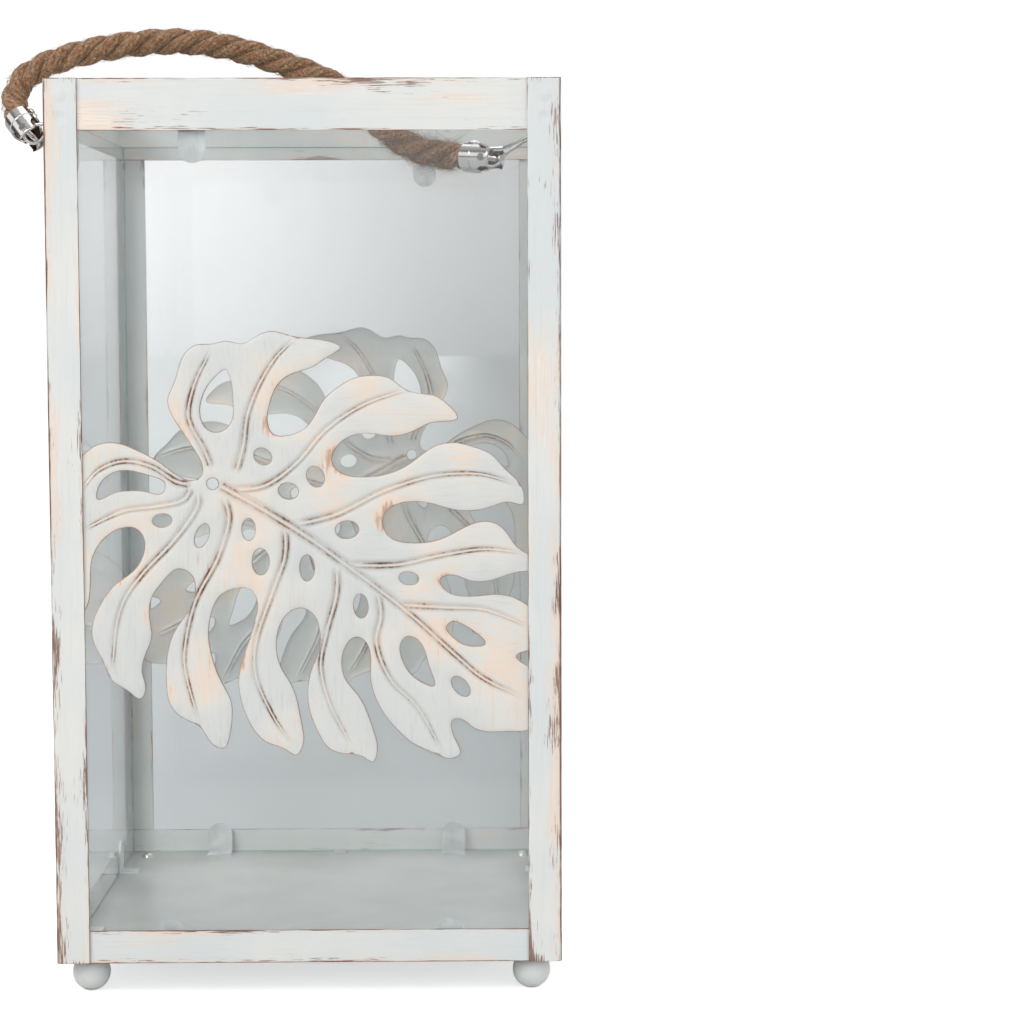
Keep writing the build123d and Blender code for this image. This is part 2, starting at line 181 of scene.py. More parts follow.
PAINT = linear(222, 226, 225)
PAINT_WARM = linear(233, 232, 227)
PEACH = linear(245, 218, 196)
CREAM = linear(252, 240, 226)
COPPER = linear(186, 128, 88)
BROWN = linear(132, 82, 58)
DARK = linear(62, 38, 28)
OUT, LEG = 0.1, 0.0868   # outer face and inner edge of the posts
POST_MIDDLE = 0.0935
BRIM_DEPTH = 0.0022      # how far in from the outer face the worn brim reaches
TOP, RAIL_LOW = 0.36, 0.34
BASE_TOP, BASE_LOW = 0.026, 0.013
DENT_HEIGHTS = (0.3535, 0.3445)   # a raised and a sunk spot weld near each post's top


def streaked(along, low, high):
    """Noise scales that stretch a pattern along one axis."""
    return tuple(low if axis == along else high for axis in "xyz")


def whitewash(name, along, edges, wear=0.0, seed=0.0, dents=False):
    """White paint dry-brushed over copper.

    edges lists the worn lines as (kind, place, width, strength). A kind is an axis, "corner" for the
    upright outer corners or "brim" for the outer edge of the open top.
    """
    s = Shader(name)
    bristle = s.noise(streaked(along, 42, 1150), 4, 0.65, seed)
    fine = s.noise(streaked(along, 105, 2300), 3, 0.6, seed + 3)
    patch = s.noise(streaked(along, 19, 60), 2, 0.5, seed + 7)
    other = s.noise(streaked(along, 24, 80), 2, 0.5, seed + 13)
    cloud = s.noise((18, 18, 18), 3, 0.5, seed + 5)
    grit = s.noise((900, 900, 900), 2, 0.5, seed)

    def worn_line(axis, place, width):
        if axis == "corner":
            return s.math("MINIMUM", s.near(s.size("x"), place, width),
                          s.near(s.size("y"), place, width))
        if axis == "brim":
            outside = s.math("MAXIMUM", s.size("x"), s.size("y"))
            return s.math("MINIMUM", s.near(s.z, place, width), s.near(outside, OUT, BRIM_DEPTH))
        return s.near(s.z if axis == "z" else s.size(axis), place, width)

    def worn_lines(spread):
        total = None
        for axis, place, width, strength in edges:
            line = s.math("MULTIPLY", worn_line(axis, place, width * spread), strength)
            total = line if total is None else s.math("MAXIMUM", total, line)
        return total

    worn, wide = worn_lines(1.0), worn_lines(4.5)
    cloudy = s.mix(s.smooth(cloud, 0.35, 0.7), PAINT, PAINT_WARM)
    colour = s.tinted(cloudy, s.smooth(bristle, 0.5, 0.75), 0.3, linear(206, 211, 210))
    drift = s.plus((0.46, bristle), (0.78, patch), (0.10, wide))
    peach = s.smooth(drift, 0.655 - wear, 0.82 - wear)
    colour = s.tinted(colour, peach, 0.66, PEACH)
    # painted highlight: small cream patches laid over the paint
    glint = s.smooth(s.plus((0.6, fine), (0.6, patch)), 0.71 - wear, 0.80 - wear)
    colour = s.tinted(colour, glint, 0.75, CREAM)
    scratch = s.plus((0.62, fine), (0.55, other), (0.16, wide))
    low_part = s.math("MULTIPLY", s.smooth(s.z, 0.21, 0.03), 0.055)
    scratch = s.math("ADD", scratch, low_part)
    brown = s.smooth(scratch, 0.775 - wear, 0.83 - wear)
    copper = s.mix(s.smooth(other, 0.4, 0.65), COPPER, BROWN)
    colour = s.tinted(colour, brown, 0.85, copper)
    ragged = s.plus((1.0, worn), (0.9, fine), (0.9, patch))
    edge = s.smooth(ragged, 1.42, 1.72)
    rim_tone = s.mix(s.smooth(bristle, 0.42, 0.62), BROWN, DARK)
    colour = s.tinted(colour, edge, 0.9, rim_tone)
    bare = s.math("MAXIMUM", brown, edge)
    height = s.plus((0.5, bristle), (0.3, fine), (0.25, grit), (-0.7, bare), (0.4, cloud))
    normal = s.bump(height, 0.00022, 0.55)
    if dents:
        spots = None
        for z in DENT_HEIGHTS:
            mirrored = s.add("ShaderNodeCombineXYZ", None, {0: s.size("x"), 1: s.size("y"), 2: s.z})
            gap = s.add("ShaderNodeVectorMath", {"operation": "DISTANCE"},
                        {0: mirrored.outputs[0], 1: (POST_MIDDLE, OUT, z)}).outputs["Value"]
            spot = s.smooth(gap, 0.0034, 0.0004)
            spots = spot if spots is None else s.math("SUBTRACT", spots, spot)
        normal = s.bump(spots, 0.0006, 0.8, normal)
    rough = s.blend(bare, s.blend(s.smooth(cloud, 0.3, 0.7), 0.42, 0.55), 0.38)
    return s.finish(Base_Color=colour, Roughness=rough, Normal=normal,
                    Metallic=s.math("MULTIPLY", bare, 0.35),
                    Specular_IOR_Level=0.5)


def leaf_paint():
    """The same paint on the pressed leaf, with stain and painted shade held in the grooves, and a
    painted highlight along the rib crests.
    """
    s = Shader("leaf_whitewash")
    groove, ridge = s.attribute("groove"), s.attribute("ridge")
    rim, warm, side = s.attribute("rim"), s.attribute("warm"), s.attribute("side")
    up = s.noise((1150, 40, 110), 4, 0.6, 2.0, (0, 0.14, 0))
    slant = s.noise((1050, 40, 150), 4, 0.6, 9.0, (0, 0.62, 0))
    flat = s.noise((120, 40, 1150), 4, 0.6, 4.0, (0, -0.12, 0))
    stroke = s.blend(side, s.blend(s.smooth(s.z, 0.19, 0.215), up, slant), flat)
    stroke = s.blend(s.smooth(warm, 0.15, 0.5), stroke, slant)
    patch = s.noise((34, 30, 34), 2, 0.5, 6.0)
    blotch = s.noise((60, 30, 60), 2, 0.5, 16.0)
    speck = s.noise((820, 820, 820), 4, 0.7, 1.0)
    grit = s.noise((1500, 1500, 1500), 2, 0.5)
    colour = s.mix(s.smooth(patch, 0.35, 0.65), linear(219, 220, 217), linear(228, 225, 218))
    colour = s.tinted(colour, s.smooth(stroke, 0.5, 0.75), 0.4, linear(198, 198, 192))
    peach = s.smooth(s.plus((0.5, stroke), (0.72, patch), (0.30, warm), (0.16, ridge)), 0.63, 0.80)
    colour = s.tinted(colour, peach, 0.7, PEACH)
    # painted shade: a grey-brown darkening laid along the grooves beside the ribs
    shade = s.math("MULTIPLY", groove, s.blend(s.smooth(blotch, 0.35, 0.6), 0.16, 0.42))
    colour = s.mix(shade, colour, linear(150, 138, 128))
    dirt = s.plus((0.46, groove), (0.52, speck), (0.60, blotch), (0.34, stroke))
    stain = s.smooth(dirt, 1.11, 1.25)
    tone = s.mix(s.smooth(blotch, 0.42, 0.6), COPPER, BROWN)
    colour = s.tinted(colour, stain, 0.85, tone)
    black = s.smooth(dirt, 1.27, 1.36)
    colour = s.tinted(colour, black, 0.9, DARK)
    scratch = s.plus((0.80, stroke), (0.30, patch), (0.40, warm), (0.20, blotch))
    hatch = s.smooth(scratch, 0.82, 0.98)
    colour = s.tinted(colour, hatch, 0.6, linear(194, 140, 102))
    line = s.smooth(s.plus((1.0, rim), (0.5, speck), (0.5, blotch)), 1.06, 1.34)
    colour = s.tinted(colour, line, 0.8, linear(142, 98, 72))
    # painted highlight: the crests of the ribs lightened towards near white
    crest = s.math("MULTIPLY", s.smooth(ridge, 0.55, 0.95), 0.55)
    colour = s.mix(crest, colour, linear(252, 246, 240))
    bare = s.math("MAXIMUM", stain, hatch)
    height = s.plus((0.6, stroke), (0.3, grit), (0.2, speck), (-0.5, bare))
    normal = s.bump(height, 0.0002, 0.55)
    rough = s.blend(bare, s.blend(s.smooth(patch, 0.3, 0.7), 0.40, 0.54), 0.36)
    return s.finish(Base_Color=colour, Roughness=rough, Normal=normal,
                    Metallic=s.math("MULTIPLY", bare, 0.3), Specular_IOR_Level=0.5)


CUT_EDGE = 0.0005        # depth of the green line at a pane's top and bottom
PANE_OVERLAP = 0.0022    # how far inside its end a pane meets the next one


def glass():
    """Clear window glass with a faint dusty film, green along its cut edges; its tint is uneven,
    partly haze and partly painted reflection.
    """
    s = Shader("clear_glass")
    haze_and_reflection = s.noise((7, 7, 6), 3, 0.5, 3.0)
    dust = s.noise((420, 420, 420), 3, 0.6, 1.0)
    streak = s.noise((90, 90, 7), 2, 0.5, 8.0)
    low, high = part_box("front_glass")
    cut_top = s.math("GREATER_THAN", s.z, high.z - CUT_EDGE)
    cut_low = s.math("LESS_THAN", s.z, low.z + CUT_EDGE)
    nearer_middle = s.math("MINIMUM", s.size("x"), s.size("y"))
    cut_side = s.math("GREATER_THAN", nearer_middle, high.x - PANE_OVERLAP)
    edge = s.math("MAXIMUM", s.math("MAXIMUM", cut_top, cut_low), cut_side)
    # the uneven tint is partly haze in the glass and partly a painted reflection of the studio
    tint = s.mix(s.smooth(haze_and_reflection, 0.3, 0.7), (0.93, 0.94, 0.94, 1), (0.965, 0.97, 0.97, 1))
    tint = s.mix(edge, tint, (0.52, 0.74, 0.68, 1))
    rough = s.blend(s.smooth(haze_and_reflection, 0.35, 0.7), 0.012, 0.035)
    clear = s.add("ShaderNodeBsdfPrincipled", None, {
        "Base Color": tint, "Roughness": rough, "IOR": 1.5, "Transmission Weight": 1.0})
    film = s.add("ShaderNodeBsdfPrincipled", None, {
        "Base Color": (0.80, 0.84, 0.86, 1), "Roughness": 0.7})
    amount = s.plus((0.05, s.smooth(haze_and_reflection, 0.35, 0.75)), (0.05, s.smooth(dust, 0.62, 0.75)),
                    (0.03, streak))
    body = s.add("ShaderNodeMixShader", None, {0: amount, 1: clear.outputs[0], 2: film.outputs[0]})
    lamp = s.add("ShaderNodeLightPath").outputs["Is Shadow Ray"]
    through = s.add("ShaderNodeBsdfTransparent", None, {"Color": (0.97, 0.985, 0.985, 1)})
    both_ways = s.add("ShaderNodeMixShader", None,
                      {0: lamp, 1: body.outputs[0], 2: through.outputs[0]})
    s.add("ShaderNodeOutputMaterial", None, {0: both_ways.outputs[0]})
    return s.mat


def pan_grey():
    s = Shader("grey_pan")
    roll = s.noise((25, 700, 200), 4, 0.6, 2.0)
    cloud = s.noise((26, 26, 26), 3, 0.55, 4.0)
    speck = s.noise((700, 700, 700), 2, 0.5, 1.0)
    colour = s.mix(s.smooth(cloud, 0.3, 0.7), linear(170, 172, 169), linear(192, 194, 191))
    colour = s.tinted(colour, s.smooth(speck, 0.6, 0.72), 0.35, linear(205, 206, 203))
    scuff = s.smooth(s.noise((1500, 60, 60), 3, 0.6, 6.0), 0.68, 0.76)
    colour = s.tinted(colour, scuff, 0.3, linear(120, 118, 114))
    rough = s.blend(s.smooth(cloud, 0.3, 0.7), 0.34, 0.48)
    normal = s.bump(s.plus((0.5, roll), (0.4, speck), (0.5, cloud)), 0.00012, 0.5)
    return s.finish(Base_Color=colour, Roughness=rough, Normal=normal,
                    Metallic=0.35, Specular_IOR_Level=0.5)


def tab_grey():
    s = Shader("tab_metal")
    cloud = s.noise((120, 120, 120), 3, 0.6, 2.0)
    brush = s.noise((900, 900, 90), 3, 0.6, 5.0)
    colour = s.mix(s.smooth(cloud, 0.35, 0.65), linear(196, 200, 200), linear(220, 223, 222))
    colour = s.tinted(colour, s.smooth(brush, 0.62, 0.75), 0.4, linear(165, 160, 152))
    normal = s.bump(s.plus((0.6, brush), (0.5, cloud)), 0.0001, 0.5)
    return s.finish(Base_Color=colour, Roughness=s.blend(cloud, 0.34, 0.5), Normal=normal,
                    Metallic=0.25, Specular_IOR_Level=0.5)


def chrome(name, base, rough_low, rough_high, seed):
    s = Shader(name)
    cloud = s.noise((160, 160, 160), 3, 0.6, seed)
    hair = s.noise((2400, 420, 2400), 3, 0.6, seed + 2)
    tarnish = s.noise((380, 380, 380), 3, 0.6, seed + 4)
    dull = tuple(c * 0.62 for c in base[:3]) + (1.0,)
    colour = s.mix(s.math("MULTIPLY", s.smooth(tarnish, 0.55, 0.72), 0.55), base, dull)
    rough = s.blend(s.smooth(cloud, 0.3, 0.7), rough_low, rough_high)
    normal = s.bump(s.plus((0.5, hair), (0.8, cloud)), 0.00006, 0.5)
    return s.finish(Base_Color=colour, Roughness=rough, Normal=normal, Metallic=1.0)


def jute(name, dark, middle, light, seed):
    """Twisted plant fibre: along-strand fibre lines, with painted shade darkening the creases between
    yarns and strands.
    """
    s = Shader(name)
    lay, turn = s.attribute("lay"), s.attribute("turn")
    vector = s.add("ShaderNodeCombineXYZ", None, {0: lay, 1: turn, 2: s.attribute("crease_shade")})
    mapped = s.add("ShaderNodeMapping", None, {0: vector.outputs[0], "Scale": (0.20, 2.4, 1.0)})
    hairs = s.add("ShaderNodeTexNoise", None, {
        "Vector": mapped.outputs[0], "Scale": 1.6, "Detail": 5.0, "Roughness": 0.65}).outputs[0]
    patch = s.noise((330, 330, 330), 4, 0.65, seed)
    tuft = s.noise((900, 900, 900), 3, 0.6, seed + 8)
    grain = s.noise((1900, 1900, 1900), 2, 0.6, seed + 1)
    crease_shade = s.attribute("crease_shade")
    colour = s.mix(s.smooth(s.plus((0.6, hairs), (0.5, grain)), 0.42, 0.66), dark, middle)
    pale = s.smooth(s.plus((0.6, hairs), (0.4, patch)), 0.55, 0.66)
    colour = s.tinted(colour, pale, 0.8, light)
    colour = s.tinted(colour, s.smooth(patch, 0.50, 0.66), 0.65, linear(176, 106, 68))
    colour = s.tinted(colour, s.smooth(patch, 0.48, 0.36), 0.5, linear(182, 166, 130))
    colour = s.tinted(colour, s.smooth(tuft, 0.54, 0.66), 0.75, linear(222, 192, 156))
    colour = s.tinted(colour, s.smooth(tuft, 0.46, 0.34), 0.75, linear(94, 60, 40))
    # painted shade: dark brown in the creases between yarns and on the strand sides that face each
    # other
    colour = s.tinted(colour, crease_shade, 0.8, linear(62, 40, 26))
    normal = s.bump(s.plus((0.9, hairs), (0.7, tuft)), 0.0007, 0.9)
    return s.finish(Base_Color=colour, Roughness=0.9, Normal=normal,
                    Specular_IOR_Level=0.25, Sheen_Weight=0.25, Sheen_Roughness=0.6)


# ---------------------------------------------------------------- mesh helpers
def make_mesh(name, points, faces, sharp=None, smooth=True):
    mesh = bpy.data.meshes.new(name)
    mesh.from_pydata([tuple(p) for p in points], [], [tuple(f) for f in faces])
    mesh.validate()
    mesh.update()
    if smooth:
        mesh.polygons.foreach_set("use_smooth", [True] * len(mesh.polygons))
    if sharp is not None:
        mesh.set_sharp_from_angle(angle=math.radians(sharp))
    piece = bpy.data.objects.new(name, mesh)
    scene.collection.objects.link(piece)
    return piece


def give(mesh, name, values):
    layer = mesh.attributes.new(name, "FLOAT", "POINT")
    layer.data.foreach_set("value", np.asarray(values, np.float32))


# ---------------------------------------------------------------- rope handle
ROPE_D = 0.0114
route = [
    (-0.124712, 0.003292, 0.348471),
    (-0.130120, 0.009405, 0.354916),
    (-0.1314, 0.0142, 0.3618),
    (-0.1286, 0.0165, 0.3698),
    (-0.1173, 0.0185, 0.3772),
    (-0.0960, 0.0205, 0.3834),
    (-0.0660, 0.0225, 0.3873),
    (-0.0425, 0.0235, 0.3852),
    (-0.0165, 0.0235, 0.3775),
    (0.0120, 0.0225, 0.3660),
    (0.0280, 0.0195, 0.3475),
    (0.0410, 0.0170, 0.3390),
    (0.056681, 0.011756, 0.336210),
    (0.068287, 0.003292, 0.335195),
]


def spline_points(points, per_span=24):
    curve = bpy.data.curves.new("rope_line", "CURVE")
    curve.dimensions = "3D"
    curve.resolution_u = per_span
    spline = curve.splines.new("NURBS")
    spline.points.add(len(points) - 1)
    for spot, place in zip(spline.points, points):
        spot.co = (*place, 1.0)
    spline.order_u = 3
    spline.use_endpoint_u = True
    holder = bpy.data.objects.new("rope_line", curve)
    scene.collection.objects.link(holder)
    bpy.context.view_layer.update()
    mesh = bpy.data.meshes.new_from_object(holder)
    line = np.array([v.co for v in mesh.vertices], float)
    bpy.data.objects.remove(holder)
    bpy.data.curves.remove(curve)
    bpy.data.meshes.remove(mesh)
    return line


def even(line, step):
    """The polyline's points at equal steps along it, its length, and frames carried along it."""
    gaps = np.linalg.norm(np.diff(line, axis=0), axis=1)
    keep = np.concatenate([[True], gaps > 1e-9])
    line = line[keep]
    run = np.concatenate([[0], np.cumsum(np.linalg.norm(np.diff(line, axis=0), axis=1))])
    count = int(round(run[-1] / step)) + 1
    at = np.linspace(0, run[-1], count)
    spots = np.stack([np.interp(at, run, line[:, k]) for k in range(3)], 1)
    ahead = np.gradient(spots, axis=0)
    ahead /= np.linalg.norm(ahead, axis=1)[:, None]
    side = np.cross(ahead[0], (0, 0, 1.0))
    side /= np.linalg.norm(side)
    sides = [side]
    for t in ahead[1:]:
        side = sides[-1] - t * np.dot(sides[-1], t)
        sides.append(side / np.linalg.norm(side))
    sides = np.array(sides)
    return spots, run[-1], at, ahead, sides, np.cross(ahead, sides)


rope_line = spline_points(route)
spots, rope_length, at, ahead, across, above = even(rope_line, 0.0004)

PITCH = 0.034            # length of one full turn of a strand
STRAND_R = 0.00298       # radius of a strand
LAY_R = 0.00277          # distance of a strand's centre from the rope's line
YARNS = 7                # yarns in a strand
YARN_PITCH = 0.017
RING = 30                # points round a strand
FIBRES = 6800
FIBRE_STEPS = 5


def strand_axis(k):
    """Centreline of strand k: a left-hand helix about the rope's line."""
    wander = np.array([noise.noise(Vector((s * 60, k * 9.1, 3.3))) for s in at])
    angle = -2 * math.pi * at / PITCH + 2 * math.pi * k / 3 + 0.22 * wander
    reach = LAY_R * (1 + 0.05 * np.array([noise.noise(Vector((s * 95, k * 4.7, 8.1))) for s in at]))
    swing = np.cos(angle)[:, None] * across + np.sin(angle)[:, None] * above
    return spots + reach[:, None] * swing


def rope_strands():
    points, faces, lay, turn, crease_shade = [], [], [], [], []
    for k in range(3):
        line = strand_axis(k)
        tangent = np.gradient(line, axis=0)
        tangent /= np.linalg.norm(tangent, axis=1)[:, None]
        outward = line - spots
        outward -= tangent * np.sum(outward * tangent, 1)[:, None]
        outward /= np.linalg.norm(outward, axis=1)[:, None]
        aside = np.cross(tangent, outward)
        base = len(points)
        phi = np.linspace(0, 2 * math.pi, RING, endpoint=False)
        for i in range(len(line)):
            twist = 2 * math.pi * at[i] / YARN_PITCH
            swell = 1 + 0.05 * noise.noise(Vector((at[i] * 130, k * 3.0, 0.5)))
            for p in phi:
                yarn = abs(math.cos(0.5 * YARNS * (p + twist / YARNS)))
                bulge = 0.90 + 0.11 * yarn ** 0.7
                bulge += 0.060 * noise.noise(Vector((at[i] * 650, p * 2.2 + k * 7, 1.7)))
                bulge += 0.045 * noise.noise(Vector((at[i] * 1700, p * 5 + k * 11, 5.1)))
                radius = STRAND_R * swell * bulge
                points.append(
                    line[i] + radius * (math.cos(p) * outward[i] + math.sin(p) * aside[i]))
                lay.append(at[i] * 1000)
                turn.append((p + twist / YARNS) * 3.0)
                # painted shade mask: deep between yarns and on the side of a strand that faces the
                # rope's line
                inside = max(0.0, -math.cos(p) * 1.2 + 0.15)
                crease_shade.append(min(1.0, 0.75 * (1 - yarn) ** 2.2 + inside))
        for i in range(len(line) - 1):
            for j in range(RING):
                a, b = base + i * RING + j, base + i * RING + (j + 1) % RING
                faces.append((a, b, b + RING, a + RING))
        faces.append(tuple(base + j for j in range(RING))[::-1])
        top = base + (len(line) - 1) * RING
        faces.append(tuple(top + j for j in range(RING)))
    piece = make_mesh("rope_strands", points, faces)
    give(piece.data, "lay", lay)
    give(piece.data, "turn", turn)
    give(piece.data, "crease_shade", crease_shade)
    return piece


def rope_fibres(count, seed):
    """Loose fibres standing off the rope, thicker near the right-hand ferrule."""
    draw = random.Random(seed)
    points, faces, lay = [], [], []
    n = len(at)
    for _ in range(count):
        share = draw.random()
        if draw.random() < 0.36:
            share = 1 - 0.25 * draw.random() ** 1.3
        i = int((0.045 + 0.90 * share) * (n - 1))
        around = draw.uniform(0, 2 * math.pi)
        out = math.cos(around) * across[i] + math.sin(around) * above[i]
        swirl = -math.sin(around) * across[i] + math.cos(around) * above[i]
        lean = draw.choice((-1, 1)) * ahead[i] * draw.uniform(0.5, 1.0)
        late = max(0.0, (share - 0.70) / 0.30)
        reach = draw.uniform(0.0009, 0.0034) * (1 + 1.1 * late)
        if draw.random() < 0.10 + 0.12 * late:
            reach *= 1.9
        rise = draw.uniform(0.12, 0.75)
        drift = draw.uniform(-0.8, 0.4)
        thick = draw.uniform(0.00005, 0.0001)
        curl = draw.uniform(-0.5, 0.9)
        way = lean + out * rise + swirl * drift
        way /= np.linalg.norm(way)
        base = len(points)
        spot = spots[i] + out * (ROPE_D / 2 - 0.0008)
        for k in range(FIBRE_STEPS + 1):
            thin = thick * (1 - 0.75 * k / FIBRE_STEPS)
            for j in range(3):
                a = 2 * math.pi * j / 3
                points.append(spot + thin * (math.cos(a) * out + math.sin(a) * swirl))
                lay.append(k / FIBRE_STEPS)
            way = way + out * (curl * -0.14) + swirl * draw.uniform(-0.16, 0.16)
            way /= np.linalg.norm(way)
            spot = spot + way * reach / FIBRE_STEPS
        for k in range(FIBRE_STEPS):
            for j in range(3):
                a, b = base + k * 3 + j, base + k * 3 + (j + 1) % 3
                faces.append((a, b, b + 3, a + 3))
        faces.append((base, base + 2, base + 1))
        top = base + FIBRE_STEPS * 3
        faces.append((top, top + 1, top + 2))
    piece = make_mesh("rope_fibres", points, faces)
    give(piece.data, "lay", lay)
    give(piece.data, "turn", [v * 3 for v in lay])
    give(piece.data, "crease_shade", [0.0] * len(points))
    return piece


strands = rope_strands()
fibres = rope_fibres(FIBRES, 5)
strands.data.materials.append(
    jute("jute_rope", linear(136, 94, 62), linear(194, 146, 104), linear(230, 188, 144), 1.0))
fibres.data.materials.append(
    jute("jute_fibre", linear(146, 106, 74), linear(186, 146, 108), linear(224, 194, 156), 6.0))
for piece in (strands, fibres):
    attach(piece, "handle")
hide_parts("rope")

# ---------------------------------------------------------------- pressed leaf
RIBS = [
    [(-33.5, 202.4), (-16.9, 193.1), (1.4, 181.6), (21.2, 166.9), (40.1, 152), (58.9, 134.9),
     (69.9, 125.8), (86, 117.8)],
    [(-36.4, 209), (-39.5, 216.9), (-44.4, 226), (-45.2, 233), (-42, 244), (-36.5, 254.5)],
    [(-27, 207.1), (-24, 218), (-22.4, 229.5), (-17.8, 241.5), (-11, 252.5), (-4, 259)],
    [(-29, 200.6), (-16, 202.3), (-3.5, 211), (8.4, 224.2), (23, 233.9), (39, 239.2)],
    [(-4, 187), (12, 191), (31, 200.2), (50, 205.9), (68, 206.6), (82, 202.6)],
    [(16, 171), (36, 171.2), (52.9, 174.8), (70, 177.2), (86, 175.2)],
    [(36, 155.3), (55, 154.2), (70, 153.2), (86, 147)],
    [(-32, 198.5), (-30, 189), (-34.5, 174), (-43.5, 157), (-47.9, 138), (-47, 126),
     (-42.6, 109.5)],
    [(-42, 200.5), (-42.4, 193.5), (-51, 181.6), (-65.6, 166), (-73.4, 152), (-76.5, 129)],
    [(-44.3, 202), (-48, 196.6), (-58, 194.3), (-72, 192.2), (-87, 185.2)],
    [(-43.7, 203), (-50.5, 204.1), (-60, 210), (-71, 212.1), (-81, 208.3), (-88, 200)],
    [(-8.2, 187), (-8.2, 175), (-13, 161), (-19.4, 143), (-20.2, 128), (-14, 112.5),
     (-6, 100)],
    [(12.1, 170.5), (11.7, 159.3), (7.8, 144.7), (5.4, 131), (9, 116), (17.6, 99)],
    [(28, 160.5), (29.1, 151), (27.3, 139.8), (32.8, 125.8), (43.7, 114.2), (52.4, 98)],
]
RIB_ROWS = (0, 0.28, 0.56, 0.9, 1.3, 1.8, 2.5)   # rows of mesh points beside a rib, mm
GRID = 1.5                                       # mesh spacing elsewhere, mm
LEAF_SHEET = 0.8                                 # sheet thickness, mm
LEAF_SKIN = 0.7                                  # thickness kept behind the relief, mm
# stained hollows between the lobes: x, z, reach, strength
STAINS = [
    (31, 190, 9, 1.0), (10.4, 213, 8, 1.0), (-15.5, 227, 7, 0.9), (-75, 163, 8, 0.7),
    (-27.5, 133, 8, 0.8), (-30, 226, 7, 0.6), (52, 165, 7, 0.7), (25, 132, 6, 0.5),
    (-62, 150, 8, 0.6), (-82, 128, 9, 0.7), (-57, 118, 8, 0.5), (60, 150, 10, 0.6),
    (1, 128, 6, 0.6), (-46, 226, 6, 0.7), (34, 118, 7, 0.5), (86, 124, 7, 0.4),
]


def curve_through(points, step):
    """Evenly spaced points on a smooth line through the given ones."""
    p = np.array([points[0]] + list(points) + [points[-1]], float)
    out = []
    for i in range(1, len(p) - 2):
        for t in np.linspace(0, 1, 24, endpoint=False):
            out.append(0.5 * (2 * p[i] + (p[i + 1] - p[i - 1]) * t
                              + (2 * p[i - 1] - 5 * p[i] + 4 * p[i + 1] - p[i + 2]) * t * t
                              + (3 * p[i] - p[i - 1] - 3 * p[i + 1] + p[i + 2]) * t ** 3))
    out.append(p[-2])
    out = np.array(out)
    run = np.concatenate([[0], np.cumsum(np.linalg.norm(np.diff(out, axis=0), axis=1))])
    where = np.linspace(0, run[-1], max(3, int(run[-1] / step)))
    return np.stack([np.interp(where, run, out[:, 0]), np.interp(where, run, out[:, 1])], 1)


def leaf_outline(node):
    """Boundary loops, in mm on XZ, of the sheet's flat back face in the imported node."""
    mesh = nodes[node].data
    co = np.array([v.co for v in mesh.vertices], float)
    back = co[:, 1].max()
    key, index, outline_spots = {}, {}, []
    for i, c in enumerate(co):
        if abs(c[1] - back) < 2e-6:
            k = (round(c[0] * 1e5), round(c[2] * 1e5))
            if k not in key:
                key[k] = len(outline_spots)
                outline_spots.append((c[0] * 1000, c[2] * 1000))
            index[i] = key[k]
    count = {}
    for poly in mesh.polygons:
        if all(v in index for v in poly.vertices):
            ids = [index[v] for v in poly.vertices]
            for a, b in zip(ids, ids[1:] + ids[:1]):
                if a != b:
                    count.setdefault((min(a, b), max(a, b)), []).append((a, b))
    follow = {}
    for pair in count.values():
        if len(pair) == 1:
            follow[pair[0][0]] = pair[0][1]
    loops, left = [], set(follow)
    while left:
        start = min(left)
        loop, now = [], start
        while now in left:
            left.discard(now)
            loop.append(outline_spots[now])
            now = follow[now]
        if len(loop) > 5:
            loops.append(np.array(loop))
    return loops, back


def spaced(loop, step):
    closed = np.vstack([loop, loop[:1]])
    run = np.concatenate([[0], np.cumsum(np.linalg.norm(np.diff(closed, axis=0), axis=1))])
    count = max(8, int(round(run[-1] / step)))
    where = np.linspace(0, run[-1], count, endpoint=False)
    return np.stack([np.interp(where, run, closed[:, 0]), np.interp(where, run, closed[:, 1])], 1)


def inside(points, loops):
    result = np.zeros(len(points), bool)
    for loop in loops:
        a, b = loop, np.roll(loop, -1, 0)
        for i in range(0, len(points), 4000):
            px, pz = points[i:i + 4000, 0, None], points[i:i + 4000, 1, None]
            cross = (a[:, 1] > pz) != (b[:, 1] > pz)
            with np.errstate(divide="ignore", invalid="ignore"):
                xx = (b[:, 0] - a[:, 0]) * (pz - a[:, 1]) / (b[:, 1] - a[:, 1]) + a[:, 0]
            result[i:i + 4000] ^= (np.sum(cross & (px < xx), 1) % 2).astype(bool)
    return result


def nearest(points, samples):
    """Distance to, and index of, the nearest sample for each point."""
    best, which = np.full(len(points), 1e9), np.zeros(len(points), int)
    for i in range(0, len(points), 3000):
        gap = np.linalg.norm(points[i:i + 3000, None, :] - samples[None], axis=2)
        which[i:i + 3000] = gap.argmin(1)
        best[i:i + 3000] = gap.min(1)
    return best, which


def step_up(v, low, high):
    t = np.clip((v - low) / (high - low), 0, 1)
    return t * t * (3 - 2 * t)


